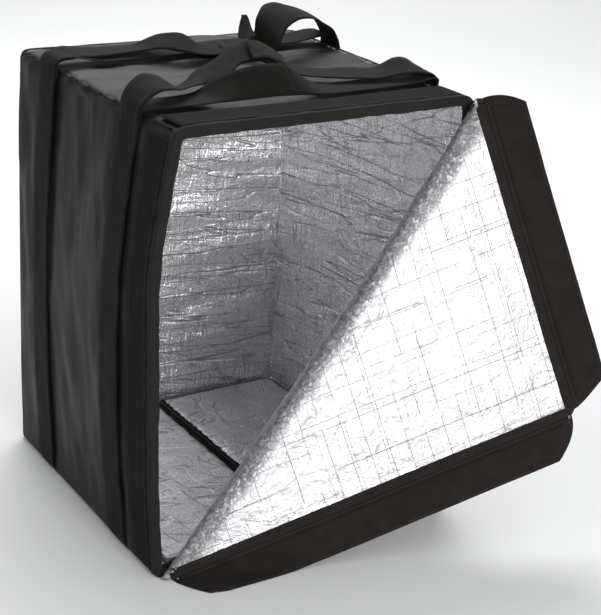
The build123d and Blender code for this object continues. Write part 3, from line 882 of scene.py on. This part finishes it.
# ---- Floor insert ----
def make_floor():
    for side, word in ((-1, "left"), (1, "right")):
        lo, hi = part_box("floor_foil_" + word)
        radius = 20 * MM
        columns = np.linspace(0, 1, 34)
        rows = np.linspace(0, 1, 64)
        y = lo.y + (hi.y - lo.y) * rows
        back = np.clip((y - (hi.y - radius)) / radius, 0, 1)
        cut = radius * (1 - np.sqrt(1 - back**2 * 0.999))
        inner_x = lo.x if side > 0 else hi.x
        outer_x = (hi.x - cut) if side > 0 else (lo.x + cut)
        x = inner_x + (outer_x - inner_x)[:, None] * columns[None]
        edge = np.minimum(np.minimum(columns[None], 1 - columns[None]) * (hi.x - lo.x),
                          np.minimum(rows, 1 - rows)[:, None] * (hi.y - lo.y))
        drop = 3.2 * MM * (1 - smooth(edge / (4 * MM)))
        points = np.stack([x, np.broadcast_to(y[:, None], x.shape), hi.z - drop], -1)
        slack = 0.9 * MM * np.abs(ripple(points, (0.08, 0.06, 0.1), 51 + side)) + 0.3 * MM
        points[..., 2] += slack * smooth(edge / (12 * MM))
        bend_y = lo.y + (hi.y - lo.y) * 0.53
        if side < 0:
            crease = 1.5 * MM * hump(points[..., 1] - bend_y, 5 * MM)
            points[..., 2] += crease * smooth(edge / (10 * MM))
        below = points - (0, 0, 0.5 * MM)
        made = closed_sheet(f"floor_skin_{word}", below, points, FLOOR_FOIL)
        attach(made, "floor_" + word)
        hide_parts("floor_foil_" + word)
        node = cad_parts["floor_board_" + word]
        node.data.materials.clear()
        node.data.materials.append(BOARD)
    lo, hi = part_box("floor_hinge_strip")
    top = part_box("floor_foil_left")[1].z
    y = np.linspace(lo.y, hi.y, 160)
    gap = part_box("floor_foil_right")[0].x
    across = np.array([-30, -22, -12, -6.0, -4.4, -3.2, -1.6, 0, 1.6, 3.2, 4.4, 6.0, 12, 22, 30]) * MM
    grid_y, grid_x = np.meshgrid(y, across, indexing="ij")
    height = lo.z + 0.1 * MM + np.zeros_like(grid_x)
    made = sheet("floor_hinge_cloth", np.stack([grid_x, grid_y, height], -1), -0.5 * MM, HINGE_CLOTH)
    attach(made, "bag")
    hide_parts("floor_hinge_strip")
    for side, word in ((-1, "left"), (1, "right")):
        make_floor_edge(side, word, gap, top, lo.y + 2 * MM, hi.y - 2 * MM)


def make_floor_edge(side, word, gap, top, front, back):
    """Ragged black cloth wrapped over a board's inner edge, with loose threads."""
    y = np.linspace(front, back, 220)
    flat = np.stack([y * 0, y, y * 0], -1)
    ragged = 1.3 * ripple(flat, (1, 0.012, 1), 55 + side) + 0.5 * ripple(flat, (1, 0.004, 1), 58)
    width = np.clip((4.0 + ragged) * MM, 1.6 * MM, 6.5 * MM)
    rows = [gap + inset * MM + 0 * y for inset in (0.1, 0.05, 0.3)] + [gap + width * 0.5, gap + width]
    heights = [top - 3.9 * MM, top - 1.2 * MM, top + 0.15 * MM, top + 0.3 * MM, top + 0.25 * MM]
    grid = np.stack([np.stack([side * x, y, z + 0 * y], -1) for x, z in zip(rows, heights)], 1)
    grid[..., 2] = np.minimum(grid[..., 2], top + 0.3 * MM)
    made = sheet("floor_edge_" + word, grid, 0.2 * MM, HINGE_CLOTH)
    rng = np.random.default_rng(57 + side)
    threads = []
    for i in range(45):
        at = rng.integers(4, len(y) - 4)
        a = np.array([side * (gap + width[at] * rng.uniform(0.5, 1)), y[at], top + 0.5 * MM])
        out = np.array([side * rng.uniform(0.5, 5), rng.uniform(-3, 3), rng.uniform(-0.1, 0.4)]) * MM
        path = np.array([a, a + out * 0.5, a + out])
        pitch = np.linalg.norm(out) / 2.1
        threads.append(stitches(f"fray{word}{i}", path, (0, 0, 1), HINGE_CLOTH, pitch, 0.98, 0.22 * MM))
    fray = merge("floor_fray_" + word, threads, HINGE_CLOTH)
    for part in (made, fray):
        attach(part, "floor_" + word)


# ---- Flap ----
def roll_radius(along):
    """Inner radius of the rolled fold, which tightens towards both corners."""
    t = along / DIAGONAL
    return MM * (0.9 + 2.1 * np.sin(math.pi * np.clip(t, 0, 1)) ** 0.6)


def slack(x, z, across):
    """How far the flap swells out of its plane, towards the foil: the closed part only swells outwards."""
    flat = np.stack([x, np.zeros_like(x), z], -1)
    wave = ripple(flat, (0.16, 1, 0.18), 61) + 0.35 * ripple(flat, (0.05, 1, 0.05), 62)
    away = -1.3 * MM - 0.6 * MM * np.clip(wave, -1.2, 1.2)
    length = np.clip(((x - LEFT) * ALONG[0] + z * ALONG[1]) / DIAGONAL, 0, 1)
    rolled = 0.5 * MM * ripple(flat, (0.035, 1, 0.03), 63) * hump(across, 40 * MM)
    swell = 4 * MM * hump(across + 24 * MM, 16 * MM)
    return away + (rolled + swell) * np.sin(math.pi * length) ** 1.5


def flap_point(x, z, n, soft=1.0):
    """Where a point of the closed flap is once its corner is peeled. N is measured from the outer face."""
    dx, dz = x - LEFT, z
    along = dx * ALONG[0] + dz * ALONG[1]
    across = dx * ALONG[1] - dz * ALONG[0]
    n = n + soft * slack(x, z, across)
    radius = roll_radius(along)
    reach = radius / math.tan(WEDGE / 2)
    turn = FOLD_ANGLE * np.clip((reach - across) / (2 * reach), 0, 1)
    s = np.where(across >= reach, across, reach - (radius + n) * np.sin(turn))
    out = np.where(across >= reach, -n, radius - (radius + n) * np.cos(turn))
    far = across <= -reach
    s = np.where(far, -across * math.cos(WEDGE) - n * math.sin(WEDGE), s)
    out = np.where(far, -across * math.sin(WEDGE) + n * math.cos(WEDGE), out)
    return np.stack([LEFT + along * ALONG[0] + s * ALONG[1], FLAP_OUTER - out,
                     along * ALONG[1] - s * ALONG[0]], -1)


def flap_grid(margin, step=9 * MM):
    """Flat (x, z) points of the flap in rows across the fold, closer together near it."""
    corner = TOP * ALONG[1]
    low_corner = (FLAP_HINGE - LEFT) * ALONG[0]
    start, stop = 3 * MM, DIAGONAL - 3 * MM
    even = np.linspace(start, stop, round(DIAGONAL / step))
    along = np.unique(np.concatenate([even, [corner, low_corner]]))
    upper = np.linspace(0, 1, 26) ** 1.6
    left = np.minimum(along * ALONG[0] / ALONG[1], (TOP - along * ALONG[1]) / ALONG[0]) - margin
    low = np.minimum((along * ALONG[1] - FLAP_LOW) / ALONG[0],
                     (FLAP_HINGE - LEFT - along * ALONG[0]) / ALONG[1]) - margin
    left, low = np.maximum(left, 0.4 * MM), np.maximum(low, 0.4 * MM)
    roll = np.minimum(24 * MM, np.minimum(left, low) * 0.8)
    fold = np.linspace(-1, 1, 21)
    rows = []
    for a, up, down, near in zip(along, left, low, roll):
        up_part = -(near + (up - near) * upper[::-1])
        down_part = near + (down - near) * upper
        across = np.concatenate([up_part[:-1], fold * near, down_part[1:]])
        x, z = LEFT + a * ALONG[0] + across * ALONG[1], a * ALONG[1] - across * ALONG[0]
        rows.append(np.column_stack([x, z]))
    return np.array(rows)


def make_flap():
    flat = flap_grid(0.3 * MM)
    x, z = flat[..., 0], flat[..., 1]
    crinkle = 0.5 * MM * ripple(np.stack([x, x * 0, z], -1), (0.022, 1, 0.022), 64)
    crinkle = np.clip(crinkle, -0.45 * MM, 0.3 * MM)
    foil_low = FLAP_THICK - FOIL
    layers = (
        ("flap_foil", "lining", foil_low, FLAP_THICK, FLAP_FOIL, "foil", 1.0),
        ("flap_foam", "foam", SHELL + 0.8 * MM, foil_low - 0.6 * MM, FOAM, "foam", 0.0),
        ("flap_shell", "shell", 0.0, SHELL * 0.95, NYLON, "nylon", 0.0),
    )
    flat_uv = np.stack([x, z], -1).reshape(-1, 2)
    for name, node, n_low, n_high, material, slot, crinkled in layers:
        near = flap_point(x, z, n_low + crinkle * crinkled)
        far = flap_point(x, z, n_high + crinkle * crinkled)
        part = closed_sheet(name, near, far, material)
        layer = part.data.uv_layers[CLOTH]
        index = np.zeros(len(part.data.loops), np.int32)
        part.data.loops.foreach_get("vertex_index", index)
        both = np.concatenate([flat_uv, flat_uv]).astype(np.float32)
        layer.data.foreach_set("uv", both[index].ravel())
        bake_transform(part)
        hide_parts(f"flap_lower_{node}", f"flap_upper_{node}")


def make_flap_edge():
    """Binding along the closed part's lower and right edges."""
    profile = [(9 * MM, -0.5 * MM), (1 * MM, -0.6 * MM), (-0.6 * MM, 0.8 * MM),
               (-0.6 * MM, FLAP_THICK - 1.2 * MM), (0.8 * MM, FLAP_THICK - 0.2 * MM)]
    low = np.linspace(LEFT + 14 * MM, FLAP_HINGE - 1 * MM, 70)
    points = np.stack([flap_point(low, FLAP_LOW + inset + 0 * low, n + 0 * low) for inset, n in profile], 1)
    points[..., 2] = np.maximum(points[..., 2], 0.4 * MM)
    made = sheet("flap_hem", points, 0.4 * MM, BINDING)
    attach(made, "flap_lower")
    z = np.linspace(6 * MM, TOP - 8 * MM, 80)
    route = [(RIGHT + 0.6 * MM, FRONT + 19 * MM), (RIGHT + 0.8 * MM, FRONT + 10 * MM),
             (RIGHT + 0.9 * MM, FRONT + 1 * MM), (RIGHT + 0.6 * MM, FRONT - 2.5 * MM),
             (RIGHT - 0.6 * MM, FLAP_OUTER + 0.5 * MM), (RIGHT - 4 * MM, FLAP_OUTER - 1.4 * MM),
             (RIGHT - 16 * MM, FLAP_OUTER - 2.4 * MM)]
    grid = np.array([[(a, b, c) for a, b in route] for c in z])
    made = sheet("flap_seam_strip", grid, 0.6 * MM, BINDING)
    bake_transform(made)
    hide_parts("flap_seam")


# ---- Lips ----
OVERLAP = 11 * MM
LIP_REACH = 60.6 * MM  # from the flap's edge to the lip's outer edge
FOLD_LINE = 3.6 * MM  # a lip folds this far out from the flap's edge
TAIL_BLEND = (60 * MM, 170 * MM)  # where the left lip starts to fold, and where it folds fully
LYING = 0.8 * MM  # height of the lip where it lies on the floor


def lip_section(out, inner):
    """Height above the flap's outer face of a lip's face, at a distance out from the flap's edge."""
    top = FLAP_THICK + 0.5 * MM
    low = 2.0 * MM if inner else 0.0
    start = top if inner else -0.6 * MM
    return start + (low - start) * smooth((out - 0.2 * MM) / (FOLD_LINE - 0.2 * MM))


def top_lip_point(x, out, n):
    return flap_point(x, TOP + out, n)


def left_lip_point(z, out, n):
    """The left lip hangs from its edge until it meets the floor, and lies along it from there."""
    root, step = np.array([LEFT - 2 * FOLD_LINE, 0.2]), 1 * MM
    start = flap_point(root[0], root[1], np.array(0.0), 0.0)
    fall = (start - flap_point(root[0] - step, root[1], np.array(0.0), 0.0))[2] / step
    rise = (flap_point(root[0], root[1], np.array(step), 0.0) - start)[2] / step
    slope, bend = math.hypot(fall, rise), math.atan2(fall, rise)
    beyond = np.maximum(out - FOLD_LINE, 0)
    height = flap_point(LEFT - FOLD_LINE + 0 * z, z, 0 * z)[..., 2] - LYING
    drop = slope * (1 - math.cos(bend))
    radius = np.clip(height / drop, 3 * MM, 16 * MM)
    hanging = np.maximum((height - radius * drop) / (slope * math.sin(bend)), 0)
    turn = np.clip((beyond - hanging) / radius, 0, bend)
    lying = np.maximum(beyond - hanging - radius * bend, 0)
    flat_out = np.minimum(beyond, hanging) + radius * np.sin(turn) + lying * np.cos(turn) - n * np.sin(turn)
    raised = radius * (1 - np.cos(turn)) + lying * np.sin(turn) + n * np.cos(turn)
    return flap_point(LEFT - np.minimum(out, FOLD_LINE) - flat_out, z, raised)


def make_lips():
    inward = [OVERLAP, OVERLAP * 0.5, 2 * MM, 0.0, -1.2 * MM, -2.4 * MM, -FOLD_LINE]
    plans = (
        ("top", top_lip_point, LEFT + 2 * MM, RIGHT - 3 * MM, 26 * MM, 24 * MM),
        ("left", left_lip_point, 14 * MM, TOP - 2 * MM, 40 * MM, 36 * MM),
    )
    for name, place, low, high, cut_low, cut_high in plans:
        count = round((high - low) / (7 * MM))
        at = np.linspace(low, high, count)
        grid_at, grid_in = np.meshgrid(at, inward, indexing="ij")
        inner_n = lip_section(-grid_in, True)
        inner = place(grid_at, -grid_in, inner_n)
        outer = place(grid_at, -grid_in, inner_n - 0.7 * MM)
        band = closed_sheet(f"lip_{name}_band", outer, inner, LIP)
        seam_path = place(at, np.full_like(at, -OVERLAP + 2.5 * MM), FLAP_THICK + 0.6 * MM + 0 * at)
        up = normals(inner)[:, 1]
        up = up * np.sign((inner[:, 1] - outer[:, 1]) @ up.mean(0)).mean()
        seam = stitches(f"lip_{name}_band_stitches", seam_path, up, THREAD)
        turned_in = np.array([8, 4, 1.5, 0, -1.2, -2.4, -3.6]) * MM
        grid_at, grid_in = np.meshgrid(at, turned_in, indexing="ij")
        cover_n = lip_section(-grid_in, False) - 0.1 * MM
        cover = closed_sheet(f"lip_{name}_cover", place(grid_at, -grid_in, cover_n - 0.5 * MM),
                             place(grid_at, -grid_in, cover_n), LIP)
        for part in (band, cover):
            if name == "top":
                ends = (0.3 * MM, FOLD_LINE)
                root, fold = (place(np.array(0.0), np.array(out), np.array(0.0)) for out in ends)
                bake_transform(part)
            else:
                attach(part, "flap_upper")
        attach(seam, "flap_upper")
        out_share = np.linspace(0, 1, 15)
        reach = LIP_REACH - FOLD_LINE
        start_low = low + cut_low * out_share[None] ** 1.4
        start_high = high - cut_high * out_share[None] ** 2.2
        t = np.linspace(0, 1, count)[:, None]
        along = start_low + (start_high - start_low) * t
        round_low = 1 - 0.10 * (1 - smooth(t / 0.05))
        out = FOLD_LINE + 0.02 * MM + reach * out_share[None] * round_low
        near = place(along, out, np.full_like(out, 0.1 * MM))
        far = place(along, out, np.full_like(out, 1.0 * MM) + hem(out_share)[None])
        lip = closed_sheet(f"lip_{name}_cloth", near, far, LIP)
        margin = (out_share > 0.09) & (out_share < 0.93)
        pad_near, pad_far = far[2:-2, margin], place(along, out, np.full_like(out, 1.9 * MM))[2:-2, margin]
        hook = closed_sheet(f"lip_{name}_hook", pad_near, pad_far, HOOK)
        line = [place(along[1:-1, c], out[1:-1, c], np.full(count - 2, level * MM))
                for c, level in ((13, 2.1), (1, 1.6))]
        up = far[1:-1, 7] - near[1:-1, 7]
        up = up / np.linalg.norm(up, axis=1, keepdims=True)
        rows = [stitches(f"lip_{name}_row{i}", path, up, THREAD) for i, path in enumerate(line)]
        seam = merge(f"lip_{name}_stitches", rows, THREAD)
        for part, slot in ((lip, "lip_cloth"), (hook, "hook_tape"), (seam, "lip_cloth")):
            if name == "top":
                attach(part, "lip_top")
            else:
                corner, origin = np.array(LEFT), np.array(0.0)
                ends = [flap_point(corner, np.array(z), origin, 0.0).tolist() for z in TAIL_BLEND]
                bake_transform(part)
        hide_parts(f"lip_{name}", *(["lip_left_tail"] if name == "left" else []))
        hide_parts(f"hook_tape_{name}")


def hem(share):
    """The turned hem along a lip's outer edge."""
    return 0.9 * MM * smooth((share - 0.88) / 0.04)


def make_tacks():
    """Small crossed tack stitches at the lips' ends."""
    tacks = []
    share = np.linspace(-1, 1, 5)
    for x, z in ((LEFT - 4 * MM, TOP - 7 * MM), (LEFT - 6 * MM, 22 * MM)):
        for dx, dz in ((3, 3), (3, -3), (4, 0)):
            path = flap_point(x + dx * MM * share, z + dz * MM * share, np.full(5, 3.2 * MM))
            up = flap_point(np.array([x]), np.array([z]), np.array([9 * MM])) - path[2]
            up = up / np.linalg.norm(up)
            tacks.append(stitches(f"tack{x}{z}{dx}{dz}", path, up, PALE_THREAD, 3 * MM, 0.9, 0.5 * MM))
    made = merge("corner_tacks", tacks, PALE_THREAD)
    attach(made, "flap_upper")


# ---- Studio ----
def make_studio():
    """A pale sweep, painted lighter towards the back, and soft lights."""
    profile = [(-12.0, 0.0), (-1.5, 0.0), (1.6, 0.0), (2.6, 0.0), (3.4, 0.12), (4.1, 0.5), (4.6, 1.2),
               (4.9, 2.4), (5.0, 4.5)]
    facing = math.radians(34)
    away = np.array([math.sin(facing), math.cos(facing)])
    side = np.array([away[1], -away[0]])
    far = curve(np.linspace(0, 8, 60), [(i, p) for i, p in enumerate(profile)])
    across = np.linspace(-5, 5, 12)
    grid = np.array([[(*(away * d + side * c), h) for c in across] for d, h in far])
    grid[..., 2] -= 0.05 * MM
    floor = closed_sheet("sweep", grid - (0, 0, 0.02), grid, studio_look())
    bpy.context.scene.world = bpy.context.scene.world or bpy.data.worlds.new("world")
    world = bpy.context.scene.world
    world.use_nodes = True
    world.node_tree.nodes["Background"].inputs["Color"].default_value = (0.95, 0.97, 1.0, 1)
    world.node_tree.nodes["Background"].inputs["Strength"].default_value = 0.5
    lamps = (
        ("key", (0.7, 1.7, 2.9), 2.2, 84),
        ("front", (-0.4, -3.2, 1.1), 1.8, 84),
        ("left", (-3.0, -0.4, 1.6), 1.6, 5),
    )
    for name, at, size, power in lamps:
        data = bpy.data.lights.new(name, "AREA")
        data.shape, data.size, data.energy = "DISK", size, power
        lamp = bpy.data.objects.new(name, data)
        bpy.context.scene.collection.objects.link(lamp)
        lamp.location = at
        lamp.rotation_mode = "QUATERNION"
        lamp.rotation_quaternion = (Vector((0, 0, 0.3)) - Vector(at)).to_track_quat("-Z", "Y")


# The camera, from fitting the bag's corners: place in metres, angles in degrees, lens and sensor in mm.
CAMERA_AT = (-1.036, -1.7275, 1.0922)
CAMERA_ANGLES = (33.9, 22.3, 3.5)
LENS, SENSOR = 88.04, 36


def make_camera():
    azimuth, elevation, roll = (math.radians(v) for v in CAMERA_ANGLES)
    forward = Vector((math.sin(azimuth) * math.cos(elevation), math.cos(azimuth) * math.cos(elevation),
                      -math.sin(elevation)))
    level = forward.cross(Vector((0, 0, 1))).normalized()
    upright = level.cross(forward)
    right = level * math.cos(roll) + upright * math.sin(roll)
    up = upright * math.cos(roll) - level * math.sin(roll)
    data = bpy.data.cameras.new("camera")
    data.sensor_width = SENSOR
    data.lens = LENS
    camera = bpy.data.objects.new("camera", data)
    bpy.context.scene.collection.objects.link(camera)
    turn = Matrix((right, up, -forward)).transposed()
    camera.matrix_world = Matrix.Translation(CAMERA_AT) @ turn.to_4x4()
    bpy.context.scene.camera = camera
    bpy.context.scene.view_settings.view_transform = "Standard"


make_camera()
make_studio()
make_walls()
make_binding()
make_tapes()
make_straps()
make_grip()
make_floor()
make_flap()
make_flap_edge()
make_lips()
make_tacks()
